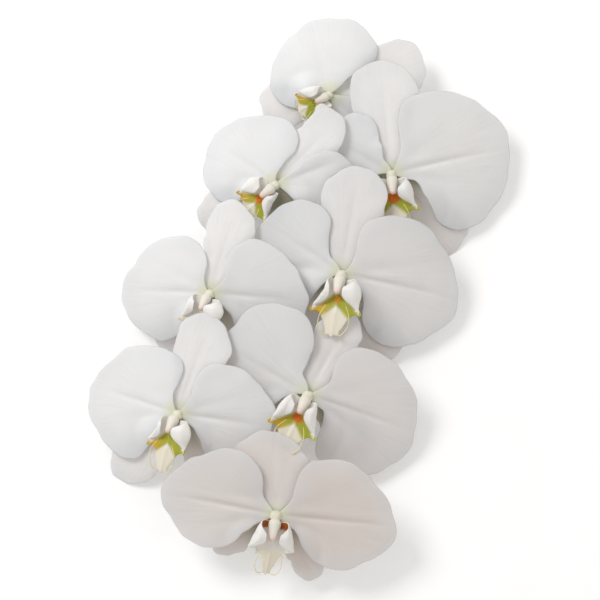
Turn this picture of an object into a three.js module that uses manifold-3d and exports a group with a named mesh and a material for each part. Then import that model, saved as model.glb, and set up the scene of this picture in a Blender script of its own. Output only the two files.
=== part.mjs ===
// A cut spray of a moth orchid (Phalaenopsis), laid on its back on a flat surface with its eight
// open blooms facing up. The rachis (the flowering stem) lies on the surface, a pedicel rises from it
// behind every bloom, and each bloom has three sepals, two petals, a column and a lip.
//
// Millimetres, +Z up. +Y runs from the tip of the spray towards its cut end, +X to the right of a
// viewer who looks down with +Y away from them. The origin is at the centre of the footprint, on the
// surface. Angles are in degrees, counter-clockwise from +X.
import * as THREE from "three";
import { mergeVertices } from "three/addons/utils/BufferGeometryUtils.js";
import Module from "manifold-3d";

const wasm = await Module();
wasm.setup();

// ---------------------------------------------------------------- driving dimensions

const TEPAL_THICKNESS = 0.9;
const RIM_POINTS = 24; // around one sepal or petal
const CLAW_START = 2.9; // how far from the bloom's axis a sepal or petal begins
const CLAW_HALF_WIDTH = 1.7;
const CLAW_SHARE = 0.13; // share of a tepal's length that its narrow claw takes
const SEPAL_LAYER = -2.4; // the sepals' whorl lies behind the petals', at the bloom's axis

const STEM_SIDES = 10;
const STEM_STEPS = 26;
const PEDICEL_SIDES = 8;
const PEDICEL_STEPS = 9;
const PEDICEL_RADIUS = 1.35; // where it leaves the rachis
const OVARY_SWELL = 0.75; // how much thicker the ovary is, just behind the bloom
const OVARY_LENGTH = 9; // the straight stretch behind the bloom
const PEDICEL_GAP = 1.2; // between the ovary's top and the sepals' whorl
const PEDICEL_FLOOR = 2.6; // the lowest that a pedicel's middle lies

const COLUMN_LENGTH = 12.5; // of a bloom of size 1
const COLUMN_FOOT = 1.2; // how far the column's foot stands in front of the bloom's centre
const COLUMN_SIDES = 10;
const COLUMN_LEAN = 52; // how far the column leans from the bloom's facing towards its lip

// Stations of the rachis from its cut end to its tip: x, y and radius.
const RACHIS = [
  [36, 117, 3.2],
  [31, 92, 3.1],
  [18, 56, 3.0],
  [-4, 14, 2.8],
  [-22, -24, 2.5],
  [-32, -58, 2.2],
  [-27, -86, 1.9],
];

// ---------------------------------------------------------------- the eight blooms
// at: the bloom's centre. lean: the slope of its face along x and y. gaze: how far its column and lip
// turn to the left and towards the tip of the spray. crown: the direction opposite its lip. size: of the
// column and lip. node: where along the rachis (0 to 1) its pedicel starts.
// Each tepal: toward is its direction and length its reach from the centre. The next three hold a value
// for its counter-clockwise side and one for its clockwise side. spread is the angle it would open to,
// full how its shoulder runs (smaller is squarer, larger is more pointed), and claw how much it narrows
// near the centre. taper draws the end out to a point where it is above 1. rise is a slope along it, and
// droop and curl are how far its end and its sides drop.
const SEPAL = { full: [0.3, 0.3], claw: [0.1, 0.1], taper: 1, rise: -0.02, droop: 6, curl: 1.5 };
const PETAL = { full: [0.3, 0.3], claw: [0.7, 0.7], taper: 1.5, rise: 0.02, droop: 4, curl: 2 };

const BLOOMS = [
  {
    name: "bloom_1", at: [14.5, 102.5, 17], size: 0.82, node: 0.06,
    lean: [0.06, 0.2], gaze: [13, 8], crown: 28,
    dorsal_sepal: { toward: 22, length: 50.5, spread: [29, 34], droop: 6 },
    petal_left: {
      toward: 75, length: 38.5, spread: [142, 43], full: [0.25, 0.15], claw: [0.42, 0.6], curl: 2.4,
    },
    petal_right: { toward: -45, length: 36, spread: [52, 52] },
    lateral_sepal_left: { toward: 190, length: 35.5, spread: [38, 36] },
    lateral_sepal_right: { toward: 262, length: 33, spread: [32, 32] },
  },
  {
    name: "bloom_2", at: [45, 63, 19], size: 1.0, node: 0.17,
    lean: [0.02, 0.25], gaze: [0, 17], crown: 94,
    dorsal_sepal: { toward: 97, length: 56.5, spread: [30.5, 33] },
    petal_left: { toward: 132, length: 37, spread: [66, 30], full: [0.25, 0.2], claw: [0.5, 1.4] },
    petal_right: {
      toward: 16, length: 61.5, spread: [94, 76], full: [0.47, 0.25], claw: [0.8, 1.2], droop: 14,
    },
    lateral_sepal_left: { toward: 228, length: 44, spread: [32, 32], droop: 2 },
    lateral_sepal_right: { toward: -48, length: 51, spread: [30, 30], droop: 5.4 },
  },
  {
    name: "bloom_3", at: [-12.5, 57.5, 21], size: 0.92, node: 0.29,
    lean: [0.18, 0.25], gaze: [20, 10], crown: 42,
    dorsal_sepal: { toward: 50, length: 47, spread: [20, 30] },
    petal_left: {
      toward: 150, length: 39.5, spread: [58, 100], full: [0.2, 0.2], claw: [0.6, 0.5], droop: 8,
    },
    petal_right: { toward: 5, length: 42, spread: [50, 62], full: [0.45, 0.3], claw: [0.9, 0.6], droop: 8 },
    lateral_sepal_left: { toward: 206, length: 42.5, spread: [32, 30], droop: 5 },
    lateral_sepal_right: { toward: -78, length: 38, spread: [32, 32], droop: 3 },
  },
  {
    name: "bloom_4", at: [20, 13, 23], size: 1.08, node: 0.42,
    lean: [0.06, 0.25], gaze: [10, 6], crown: 83,
    dorsal_sepal: { toward: 80, length: 54, spread: [32, 32] },
    petal_left: { toward: 150, length: 47.5, spread: [78, 57], full: [0.2, 0.2], claw: [0.5, 1.2] },
    petal_right: {
      toward: -16, length: 60.5, spread: [130, 75], full: [0.7, 0.45], claw: [0.75, 1.3], droop: 14,
    },
    lateral_sepal_left: { toward: 232, length: 45, spread: [32, 32] },
    lateral_sepal_right: { toward: -60, length: 50, spread: [30, 32] },
  },
  {
    name: "bloom_5", at: [-45.5, 3.5, 22], size: 0.92, node: 0.54,
    lean: [0.18, 0.25], gaze: [26, 10], crown: 73,
    dorsal_sepal: { toward: 73, length: 47.5, spread: [25, 28.5] },
    petal_left: { toward: 185, length: 44.5, spread: [52, 120], full: [0.2, 0.45], claw: [0.6, 0.62] },
    petal_right: { toward: -8, length: 49, spread: [112, 54], full: [0.55, 0.2], claw: [1.05, 0.7] },
    lateral_sepal_left: { toward: 230, length: 38, spread: [20, 32] },
    lateral_sepal_right: { toward: -68, length: 40, spread: [32, 28] },
  },
  {
    name: "bloom_6", at: [3.5, -47, 25], size: 1.05, node: 0.68,
    lean: [0.06, 0.25], gaze: [8, 8], crown: 66,
    dorsal_sepal: { toward: 63, length: 46, spread: [27, 27], droop: 11 },
    petal_left: { toward: 125, length: 52, spread: [95, 63], full: [0.27, 0.43], claw: [0.75, 1.35] },
    petal_right: {
      toward: -27, length: 58.5, spread: [117, 91], full: [0.57, 0.55], claw: [0.95, 1.45], droop: 14,
    },
    lateral_sepal_left: { toward: 222, length: 38, spread: [30, 28] },
    lateral_sepal_right: { toward: -44, length: 42, spread: [30, 26] },
  },
  {
    name: "bloom_7", at: [-61.5, -56.5, 23.5], size: 1.0, node: 0.8,
    lean: [0.18, 0.25], gaze: [26, 10], crown: 74,
    dorsal_sepal: { toward: 72, length: 52, spread: [25, 32], droop: 5 },
    petal_left: { toward: 165, length: 45.5, spread: [72, 112], full: [0.18, 0.4], claw: [0.8, 0.88] },
    petal_right: { toward: 0, length: 48.5, spread: [108, 66], full: [0.74, 0.2], claw: [0.95, 0.8] },
    lateral_sepal_left: { toward: 228, length: 45.5, spread: [28, 30], droop: 5.4 },
    lateral_sepal_right: { toward: -55, length: 42, spread: [32, 32] },
  },
  {
    name: "bloom_8", at: [-12.5, -106.5, 29], size: 1.1, node: 1,
    lean: [0.0, 0.3], gaze: [2, 30], crown: 82,
    dorsal_sepal: { toward: 105, length: 42, spread: [36, 74], full: [0.3, 0.5], claw: [0.2, 0.3] },
    petal_left: { toward: 168, length: 58, spread: [68, 150], full: [0.55, 1.4], claw: [0.85, 1.1] },
    petal_right: { toward: -11, length: 60.5, spread: [150, 79], full: [1.06, 0.87], claw: [1.0, 1.05] },
    lateral_sepal_left: { toward: 210, length: 36, spread: [24, 20] },
    lateral_sepal_right: { toward: -60, length: 39, spread: [28, 18] },
  },
];

// ---------------------------------------------------------------- materials

function material(name, colour, roughness) {
  return new THREE.MeshStandardMaterial({ name, color: colour, roughness, metalness: 0 });
}

const SEPAL_WHITE = material("sepal_white", 0xe9e8e6, 0.6);
const PETAL_WHITE = material("petal_white", 0xefeff0, 0.55);
const COLUMN_CREAM = material("column_cream", 0xf2ecdf, 0.45);
const LIP_YELLOW = material("lip_yellow_and_white", 0xe8d98c, 0.45);
const STEM_GREEN = material("stem_green", 0x7d9150, 0.5);

// ---------------------------------------------------------------- helpers

const radians = THREE.MathUtils.degToRad;

// A closed three.js geometry as a manifold-3d solid.
function solidOf(geometry) {
  const bare = new THREE.BufferGeometry();
  bare.setAttribute("position", geometry.getAttribute("position"));
  bare.setIndex(geometry.getIndex());
  const merged = mergeVertices(bare, 1e-4);
  return new wasm.Manifold(
    new wasm.Mesh({
      numProp: 3,
      vertProperties: new Float32Array(merged.getAttribute("position").array),
      triVerts: new Uint32Array(merged.getIndex().array),
    }),
  );
}

// A manifold-3d solid as a three.js geometry.
function geometryOf(solid) {
  const mesh = solid.getMesh();
  const geometry = new THREE.BufferGeometry();
  geometry.setAttribute("position", new THREE.BufferAttribute(mesh.vertProperties, 3));
  geometry.setIndex(new THREE.BufferAttribute(mesh.triVerts, 1));
  return geometry;
}

// Several overlapping closed geometries joined into one.
function joined(geometries) {
  return geometryOf(geometries.map(solidOf).reduce((whole, solid) => whole.add(solid)));
}

// A flat disc with one ring of points part of the way out. Its two faces are at height -0.5 and 0.5.
const MIDDLE_RING = 0.55;
const DISC_PROFILE = [
  [0, -0.5],
  [MIDDLE_RING, -0.5],
  [1, -0.5],
  [1, 0.5],
  [MIDDLE_RING, 0.5],
  [0, 0.5],
].map(([x, y]) => new THREE.Vector2(x, y));

// The disc drawn out to a rim of points on the plane and bent to a height: a thin closed sheet.
function sheet(rim, height, thickness) {
  const centre = new THREE.Vector2();
  for (const point of rim) centre.addScaledVector(point, 1 / rim.length);
  const geometry = new THREE.LatheGeometry(DISC_PROFILE, rim.length);
  const position = geometry.getAttribute("position");
  for (let v = 0; v < position.count; v++) {
    const spoke = Math.floor(v / DISC_PROFILE.length) % rim.length;
    const profile = DISC_PROFILE[v % DISC_PROFILE.length];
    const place = centre.clone().lerp(rim[spoke], profile.x);
    position.setXYZ(v, place.x, place.y, height(place.x, place.y) + profile.y * thickness);
  }
  return geometry;
}

// A round rod along a curve, with a radius at each share of its length and both ends closed.
function rod(curve, radiusAt, sides, steps) {
  const geometry = new THREE.CylinderGeometry(1, 1, 1, sides, steps);
  const position = geometry.getAttribute("position");
  const frames = curve.computeFrenetFrames(steps, false);
  for (let v = 0; v < position.count; v++) {
    const share = 0.5 - position.getY(v);
    const step = Math.round(share * steps);
    const radius = radiusAt(share);
    const place = curve
      .getPointAt(share)
      .addScaledVector(frames.normals[step], position.getX(v) * radius)
      .addScaledVector(frames.binormals[step], position.getZ(v) * radius);
    position.setXYZ(v, place.x, place.y, place.z);
  }
  return geometry;
}

// ---------------------------------------------------------------- sepals and petals

// The margin of a tepal that points along +x: from the claw, round the blade counter-clockwise, and
// back to the claw.
function tepalRim({ length, spread, full, claw, taper }) {
  const margin = [];
  const steps = 60;
  for (let i = 0; i <= steps; i++) {
    const turn = -Math.cos((Math.PI * i) / steps); // -1 on the clockwise side, 1 on the other
    const side = turn > 0 ? 0 : 1;
    const reach = Math.cos((Math.PI / 2) * turn * 0.9999) ** full[side];
    if (reach < CLAW_SHARE) continue;
    const narrowing = 1 - claw[side] * (1 - reach) ** 3;
    const angle = radians(spread[side]) * Math.sign(turn) * Math.abs(turn) ** taper * narrowing;
    const out = length * reach;
    margin.push(new THREE.Vector3(out * Math.cos(angle), out * Math.sin(angle), 0));
  }
  const corner = new THREE.Vector3(CLAW_START, -CLAW_HALF_WIDTH, 0);
  const opposite = new THREE.Vector3(CLAW_START, CLAW_HALF_WIDTH, 0);
  const curve = new THREE.CatmullRomCurve3([corner, ...margin, opposite]);
  curve.arcLengthDivisions = 600;
  return curve.getSpacedPoints(RIM_POINTS - 1).map((p) => new THREE.Vector2(p.x, p.y));
}

// One sepal or petal, placed about the bloom's centre.
function tepal(spec, layer, lean) {
  const { toward, length, rise, droop, curl } = spec;
  const along = new THREE.Vector2(Math.cos(radians(toward)), Math.sin(radians(toward)));
  const across = new THREE.Vector2(-along.y, along.x);
  const rim = tepalRim(spec).map((p) =>
    along.clone().multiplyScalar(p.x).addScaledVector(across, p.y),
  );
  const height = (x, y) => {
    const s = (x * along.x + y * along.y) / length;
    const t = (x * across.x + y * across.y) / length;
    const bend = rise * length * s - droop * s * s - curl * (2 * t) ** 2;
    return layer + lean[0] * x + lean[1] * y + bend;
  };
  return sheet(rim, height, TEPAL_THICKNESS);
}

// ---------------------------------------------------------------- column and lip
// Both are drawn in the bloom's own frame: +z faces the viewer, +y points to the dorsal sepal.

// Radius along the column from its foot to the anther cap.
const COLUMN_PROFILE = [
  [0, 0],
  [2.0, 0.5],
  [2.3, 3.5],
  [2.5, 7.5],
  [2.5, 9.8],
  [1.7, 11.8],
  [0, COLUMN_LENGTH],
].map(([r, y]) => new THREE.Vector2(r, y));

function columnGeometry() {
  const geometry = new THREE.LatheGeometry(COLUMN_PROFILE, COLUMN_SIDES);
  geometry.rotateX(radians(90 + COLUMN_LEAN));
  geometry.translate(0, 0, COLUMN_FOOT);
  return geometry;
}

// Half of the midlobe's margin: across and along, from the claw to the apex. The third point is the
// arm's shoulder and the fourth and fifth its hooked tip.
const MIDLOBE_HALF = [
  [1.2, -3.4],
  [2.2, -9.5],
  [6.5, -12.6],
  [11.6, -15.2],
  [12.2, -17.2],
  [6.2, -18.2],
  [3.9, -23],
  [2.2, -27.5],
];
const MIDLOBE_APEX = [0, -28.5];
const MIDLOBE_THICKNESS = 1.2;

// The midlobe rises towards the viewer under the column, and its arms bend back.
function midlobeHeight(x, y) {
  return -1 - 0.45 * y - 0.004 * y * y - 0.004 * x * x;
}

function midlobe() {
  const half = MIDLOBE_HALF.map(([x, y]) => new THREE.Vector2(x, y));
  const other = MIDLOBE_HALF.map(([x, y]) => new THREE.Vector2(-x, y)).reverse();
  const rim = [...half, new THREE.Vector2(...MIDLOBE_APEX), ...other].reverse();
  return sheet(rim, midlobeHeight, MIDLOBE_THICKNESS);
}

// A side lobe is a flap that stands up beside the column, from the midlobe's shoulder to a free corner.
const SIDE_LOBE = [
  [3.2, -10.6],
  [3.3, -7.6],
  [5.2, -4.6],
  [7.4, -5.6],
  [9.2, -9.2],
  [9.4, -13],
  [8.2, -15],
  [5.4, -13.4],
];
const SIDE_LOBE_THICKNESS = 1.4;

// Lowest at the shoulder and highest along the middle of the flap.
function sideLobeHeight(x, y) {
  return 8.4 + 0.3 * (y + 9) - 0.09 * (y + 9) ** 2 - 0.12 * (Math.abs(x) - 5.5) ** 2;
}

function sideLobe(side) {
  const rim = SIDE_LOBE.map(([x, y]) => new THREE.Vector2(side * x, y));
  if (side > 0) rim.reverse();
  return sheet(rim, sideLobeHeight, SIDE_LOBE_THICKNESS);
}

// The callus is the small crest where the side lobes meet the midlobe.
function callus() {
  const bump = new THREE.SphereGeometry(1, 8, 6);
  bump.scale(2.4, 1.8, 2);
  bump.translate(0, -13.2, 4.6);
  return bump;
}

// ---------------------------------------------------------------- rachis and pedicels

const rachisCurve = new THREE.CatmullRomCurve3(
  RACHIS.map(([x, y, radius]) => new THREE.Vector3(x, y, radius)),
);

function rachisRadius(share) {
  const last = RACHIS.length - 1;
  const step = Math.min(last - 1, Math.floor(share * last));
  return THREE.MathUtils.lerp(RACHIS[step][2], RACHIS[step + 1][2], share * last - step);
}

// A pedicel leaves the rachis, swells into the ovary and meets the bloom from behind.
function pedicel(bloom, facing) {
  const start = rachisCurve.getPointAt(bloom.node);
  const hub = new THREE.Vector3(...bloom.at).addScaledVector(facing, SEPAL_LAYER - PEDICEL_GAP);
  const behind = hub.clone().addScaledVector(facing, -OVARY_LENGTH);
  const middle = start.clone().lerp(behind, 0.55);
  middle.z = Math.max(PEDICEL_FLOOR, THREE.MathUtils.lerp(start.z, behind.z, 0.3));
  const curve = new THREE.CatmullRomCurve3([start, middle, behind, hub]);
  const radius = (share) => PEDICEL_RADIUS + OVARY_SWELL * share * share;
  return rod(curve, radius, PEDICEL_SIDES, PEDICEL_STEPS);
}

// ---------------------------------------------------------------- the spray

function named(name, geometry, finish) {
  const mesh = new THREE.Mesh(geometry, finish);
  mesh.name = name;
  return mesh;
}

// The direction a bloom's column and lip face, and the frame that they are drawn in.
function faceFrame(bloom) {
  const [left, down] = bloom.gaze.map(radians);
  const facing = new THREE.Vector3(-Math.tan(left), -Math.tan(down), 1).normalize();
  const crown = radians(bloom.crown);
  const up = new THREE.Vector3(Math.cos(crown), Math.sin(crown), 0);
  up.addScaledVector(facing, -up.dot(facing)).normalize();
  const right = up.clone().cross(facing);
  return { facing, basis: new THREE.Matrix4().makeBasis(right, up, facing) };
}

const TEPALS = {
  dorsal_sepal: [SEPAL, SEPAL_LAYER, SEPAL_WHITE],
  lateral_sepal_left: [SEPAL, SEPAL_LAYER, SEPAL_WHITE],
  lateral_sepal_right: [SEPAL, SEPAL_LAYER, SEPAL_WHITE],
  petal_left: [PETAL, 0, PETAL_WHITE],
  petal_right: [PETAL, 0, PETAL_WHITE],
};

const lipGeometry = joined([midlobe(), sideLobe(1), sideLobe(-1), callus()]);

function bloomGroup(bloom) {
  const group = new THREE.Group();
  group.position.set(...bloom.at);
  for (const [organ, [usual, layer, finish]] of Object.entries(TEPALS)) {
    const spec = { ...usual, ...bloom[organ] };
    group.add(named(`${bloom.name}_${organ}`, tepal(spec, layer, bloom.lean), finish));
  }
  const face = new THREE.Group();
  face.setRotationFromMatrix(faceFrame(bloom).basis);
  face.scale.setScalar(bloom.size);
  face.add(named(`${bloom.name}_column`, columnGeometry(), COLUMN_CREAM));
  face.add(named(`${bloom.name}_lip`, lipGeometry.clone(), LIP_YELLOW));
  group.add(face);
  return group;
}

const spray = new THREE.Group();
const stemParts = [rod(rachisCurve, rachisRadius, STEM_SIDES, STEM_STEPS)];
for (const bloom of BLOOMS) {
  spray.add(bloomGroup(bloom));
  stemParts.push(pedicel(bloom, faceFrame(bloom).facing));
}
spray.add(named("stem", joined(stemParts), STEM_GREEN));

// The origin goes to the centre of the footprint, on the surface.
const box = new THREE.Box3().setFromObject(spray);
spray.position.set(-(box.min.x + box.max.x) / 2, -(box.min.y + box.max.y) / 2, -box.min.z);

const part = new THREE.Group();
part.add(spray);
export default part;
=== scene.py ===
# %% [markdown]
# # A cut spray of a white moth orchid
#
# The spray lies on its back on a pale table. Eight open blooms overlap like roof tiles along one
# arching stem. Each bloom has three sepals, two broad petals, a column in the middle and a lip below it.
#
# The sizes and places come from the frame, a plain model of the same spray made of thin closed sheets
# and rods. Each sheet is measured here, and a living petal is grown over it: a finer outline, a midrib,
# veins, a thin rolled margin and flesh that lets light through.

# %% Load the frame
import math

import bmesh
import bpy
import numpy as np
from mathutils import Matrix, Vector
from numpy.linalg import norm


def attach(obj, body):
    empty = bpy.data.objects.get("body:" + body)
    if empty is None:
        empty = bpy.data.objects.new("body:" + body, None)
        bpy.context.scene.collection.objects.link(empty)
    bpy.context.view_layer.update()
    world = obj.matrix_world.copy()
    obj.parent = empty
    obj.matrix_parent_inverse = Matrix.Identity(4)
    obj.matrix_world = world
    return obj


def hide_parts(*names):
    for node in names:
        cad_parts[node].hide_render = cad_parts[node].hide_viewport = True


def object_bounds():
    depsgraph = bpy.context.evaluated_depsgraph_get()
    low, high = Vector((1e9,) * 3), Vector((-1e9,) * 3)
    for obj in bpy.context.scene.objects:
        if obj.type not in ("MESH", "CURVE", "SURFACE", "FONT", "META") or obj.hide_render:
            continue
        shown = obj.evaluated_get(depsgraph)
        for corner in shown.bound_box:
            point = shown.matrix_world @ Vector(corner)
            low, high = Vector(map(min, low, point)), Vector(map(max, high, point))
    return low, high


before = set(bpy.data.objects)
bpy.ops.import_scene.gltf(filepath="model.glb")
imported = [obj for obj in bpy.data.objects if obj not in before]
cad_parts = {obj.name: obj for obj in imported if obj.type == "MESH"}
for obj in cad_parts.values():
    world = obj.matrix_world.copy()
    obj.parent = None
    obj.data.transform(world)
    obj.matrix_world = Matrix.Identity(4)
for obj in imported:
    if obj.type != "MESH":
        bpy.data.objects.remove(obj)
cad_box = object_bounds()

MM = 0.001
BODY = "root"
blooms = sorted(node[: -len("_column")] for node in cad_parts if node.endswith("_column"))
print("blooms:", ", ".join(blooms))

# %% [markdown]
# ## Helpers
#
# Colours are written as sRGB hex, as a colour picker gives them. Shaders work in linear light, so one
# function turns the one into the other.
#
# Every material is a small graph of nodes. One function adds a node, sets its own settings and fills
# its inputs, and an input may be a plain value or another node's output, which is then linked. The
# short functions after it name the nodes that come again and again.

# %% Colour and node helpers
def linear(hex_colour):
    """An sRGB hex colour as linear RGBA."""
    parts = [int(hex_colour[start : start + 2], 16) / 255 for start in (1, 3, 5)]
    return [p / 12.92 if p <= 0.04045 else ((p + 0.055) / 1.055) ** 2.4 for p in parts] + [1.0]


def add_node(tree, kind, settings=None, inputs=None):
    """Adds a node with its settings. An input is a value, an output, or a node for its first output."""
    node = tree.nodes.new("ShaderNode" + kind)
    for name, value in (settings or {}).items():
        setattr(node, name, value)
    for name, value in (inputs or {}).items():
        if isinstance(value, bpy.types.Node):
            value = value.outputs[0]
        if isinstance(value, bpy.types.NodeSocket):
            tree.links.new(value, node.inputs[name])
        else:
            node.inputs[name].default_value = value
    return node


def read(tree, key):
    """The number that is stored under a name on a piece's points."""
    return add_node(tree, "Attribute", {"attribute_name": key}).outputs["Fac"]


def reckon(tree, operation, *values, clamp=False):
    """One step of arithmetic."""
    return add_node(tree, "Math", {"operation": operation, "use_clamp": clamp}, dict(enumerate(values)))


def mapped(tree, value, source, target=(0, 1), way="LINEAR"):
    """A value's run between two ends, carried to the run between two others."""
    ends = dict(zip(("From Min", "From Max", "To Min", "To Max"), source + target))
    return add_node(tree, "MapRange", {"interpolation_type": way}, {"Value": value, **ends})


def mixed(tree, share, first, second, way="MIX"):
    """Two colours mixed by a share. Each is a hex colour or an output."""
    first, second = (linear(c) if isinstance(c, str) else c for c in (first, second))
    settings = {"data_type": "RGBA", "blend_type": way}
    return add_node(tree, "Mix", settings, {0: share, 6: first, 7: second}).outputs[2]


def ramp(tree, value, stops):
    """The colour of a value between (place, hex colour) stops."""
    node = add_node(tree, "ValToRGB", None, {"Fac": value})
    elements = node.color_ramp.elements
    while len(elements) < len(stops):
        elements.new(1.0)
    for element, (place, colour) in zip(elements, stops):
        element.position = place
        element.color = linear(colour)
    return node.outputs["Color"]


def grain_of(tree, scale, detail=2.0, roughness=0.5, place=None):
    """Fine uneven noise, with its scale per metre unless a place of its own is given."""
    place = place or add_node(tree, "TexCoord").outputs["Object"]
    settings = {"Vector": place, "Scale": scale, "Detail": detail, "Roughness": roughness}
    return add_node(tree, "TexNoise", None, settings)


def bumped(tree, height, strength, depth_mm, under=None):
    """A fine relief from a height, over another relief if one is given."""
    inputs = {"Strength": strength, "Distance": depth_mm * MM, "Height": height}
    return add_node(tree, "Bump", None, inputs | ({"Normal": under} if under else {}))


def new_material(name, sockets):
    """A material with steady values set on its shader's own sockets."""
    material = bpy.data.materials.new(name)
    material.use_nodes = True
    tree = material.node_tree
    shader = tree.nodes["Principled BSDF"]
    for socket, value in sockets.items():
        shader.inputs[socket].default_value = value
    return material, tree


def dress(tree, **outputs):
    """Links outputs to the shader's sockets, named in lower case with _ for a space."""
    shader = tree.nodes["Principled BSDF"]
    for name, output in outputs.items():
        tree.links.new(output, shader.inputs[name.replace("_", " ").title()])


print("white in linear light:", round(linear("#F3F3F3")[0], 3))

# %% [markdown]
# A mesh is made from plain arrays: points in millimetres and faces as rows of point numbers. Values that
# the materials need, such as how far a point is from the margin, are stored on the points.

# %% Mesh helpers
def put(name, data):
    """A new object in the scene."""
    thing = bpy.data.objects.new(name, data)
    bpy.context.scene.collection.objects.link(thing)
    return thing


def new_piece(name, points, faces, values=None):
    """A smooth-shaded object from points in mm, with named values on its points."""
    mesh = bpy.data.meshes.new(name)
    mesh.from_pydata((np.asarray(points) * MM).tolist(), [], faces)
    mesh.shade_smooth()
    piece = put(name, mesh)
    for key, numbers in (values or {}).items():
        store(piece, key, numbers)
    return piece


def store(piece, key, numbers):
    """Keeps a number for each point, or one for all, under a name that materials can read."""
    attribute = piece.data.attributes.new(key, "FLOAT", "POINT")
    each = np.zeros(len(piece.data.vertices), dtype=np.float32) + numbers
    attribute.data.foreach_set("value", each.astype(np.float32))


def rows_of(mesh, key):
    """A value of three numbers of every point of a mesh, as rows."""
    flat = np.zeros(len(mesh.vertices) * 3)
    mesh.vertices.foreach_get(key, flat)
    return flat.reshape(-1, 3)


def points_of(mesh):
    """A mesh's points as rows, in mm."""
    return rows_of(mesh, "co") / MM


def finish_piece(piece, material, node=None):
    """Gives a piece its material, says what it rides on and hides the frame's part that it replaces."""
    piece.data.materials.clear()
    piece.data.materials.append(material)
    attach(piece, BODY)
    if node:
        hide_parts(node)
    return piece


def run_modifier(piece, kind, **settings):
    """Runs one modifier on a piece and keeps its result as the piece's mesh."""
    modifier = piece.modifiers.new(kind, kind)
    for name, value in settings.items():
        setattr(modifier, name, value)
    graph = bpy.context.evaluated_depsgraph_get()
    result = bpy.data.meshes.new_from_object(piece.evaluated_get(graph))
    piece.modifiers.clear()
    spent = piece.data
    piece.data = result
    bpy.data.meshes.remove(spent)
    piece.data.shade_smooth()


# %% [markdown]
# Three kinds of closed surface make the whole spray, so three functions list their faces: two fans of
# rings back to back, a tube of rings with closed ends, and two grids with a wall round them.

# %% Faces
def fan_faces(rings, spokes, shared_margin):
    """Two fans, back to back, that share their outermost ring or are joined by a wall round it."""
    faces = []
    under = 1 + rings * spokes
    for spoke in range(spokes):
        after = (spoke + 1) % spokes
        faces.append((0, 1 + spoke, 1 + after))
        faces.append((under, under + 1 + after, under + 1 + spoke))
        for ring in range(rings - 1):
            inner = 1 + ring * spokes
            outer = inner + spokes
            faces.append((inner + spoke, outer + spoke, outer + after, inner + after))
            low_inner = under + inner
            low_outer = outer if shared_margin and ring == rings - 2 else under + outer
            faces.append((low_inner + after, low_outer + after, low_outer + spoke, low_inner + spoke))
        if not shared_margin:
            faces.append((outer + spoke, under + outer + spoke, under + outer + after, outer + after))
    return faces


def fan_points(outline, centre, shares):
    """The points of one fan on the plane: each ring is a share of the way from the centre out."""
    share = np.concatenate([[0], np.repeat(shares, len(outline))])
    rays = np.vstack([[0, 0], np.tile(outline - centre, (len(shares), 1))])
    return centre + rays * share[:, None], rays, share


def tube_faces(rings, sides):
    """A tube through rings of points, with closed ends."""
    faces = []
    for ring in range(rings - 1):
        for side in range(sides):
            after = (side + 1) % sides
            here, there = ring * sides, (ring + 1) * sides
            faces.append((here + side, here + after, there + after, there + side))
    faces.append(tuple(range(sides))[::-1])
    faces.append(tuple(range((rings - 1) * sides, rings * sides)))
    return faces


def shell_faces(rows, columns):
    """Two grids of points, outer then inner, with a wall round their border."""
    count = rows * columns
    spot = lambda i, j: i * columns + j
    faces = []
    for i in range(rows - 1):
        for j in range(columns - 1):
            quad = (spot(i, j), spot(i + 1, j), spot(i + 1, j + 1), spot(i, j + 1))
            faces.append(quad)
            faces.append(tuple(count + corner for corner in reversed(quad)))
    border = [spot(i, 0) for i in range(rows)]
    border += [spot(rows - 1, j) for j in range(1, columns)]
    border += [spot(i, columns - 1) for i in reversed(range(rows - 1))]
    border += [spot(0, j) for j in reversed(range(1, columns - 1))]
    for here, there in zip(border, border[1:] + border[:1]):
        faces.append((there, here, count + here, count + there))
    return faces


print("faces in a small tube:", len(tube_faces(3, 8)))

# %% [markdown]
# Relief and masks are sums of two plain curves: a swell that is 1 at its middle and fades to both
# sides, and a rise from 0 to 1.

# %% Two curves
def swell(value, middle, width):
    return np.exp(-(((value - middle) / width) ** 2))


def rising(value, start, over):
    return np.clip((value - start) / over, 0, 1)


print("a swell, one width out:", round(float(swell(1, 0, 1)), 3))

# %% [markdown]
# ## Where each bloom faces
#
# The column is a rod that leans from the bloom's centre towards the lip, by a known angle. Its two ends
# and the lip's apex are enough to find the bloom's own axes: the way it faces, its crown and its right.

# %% Bloom axes
COLUMN_LENGTH = 12.5
COLUMN_LEAN = math.radians(52)
COLUMN_FOOT = 1.2
APEX_DEPTH = 0.5  # how much of the lip's far end counts as its apex, in mm


def bloom_axes(bloom):
    """The matrix from a bloom's own millimetres (x right, y crown, z facing) to the frame's."""
    column = points_of(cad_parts[bloom + "_column"].data)
    lip = points_of(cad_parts[bloom + "_lip"].data)
    spread = norm(column[:, None] - column[None], axis=2)
    ends = column[list(np.unravel_index(spread.argmax(), spread.shape))]
    tip, foot = sorted(ends, key=lambda end: norm(lip - end, axis=1).max())
    reach = norm(lip - foot, axis=1)
    apex = lip[reach > reach.max() - APEX_DEPTH].mean(axis=0)
    size = norm(tip - foot) / COLUMN_LENGTH
    lean = (tip - foot) / norm(tip - foot)
    right = np.cross(lean, apex - foot)
    right /= norm(right)
    aside = np.cross(lean, right)
    facing = math.cos(COLUMN_LEAN) * lean + math.sin(COLUMN_LEAN) * aside
    crown = np.cross(facing, right)
    axes = np.identity(4)
    axes[:3, :3] = np.column_stack([right, crown, facing]) * size
    axes[:3, 3] = foot - COLUMN_FOOT * size * facing
    return axes


axes_of = {bloom: bloom_axes(bloom) for bloom in blooms}
for bloom, axes in axes_of.items():
    print(bloom, "centre", axes[:3, 3].round(1), "size", norm(axes[:3, 2]).round(2))

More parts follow.
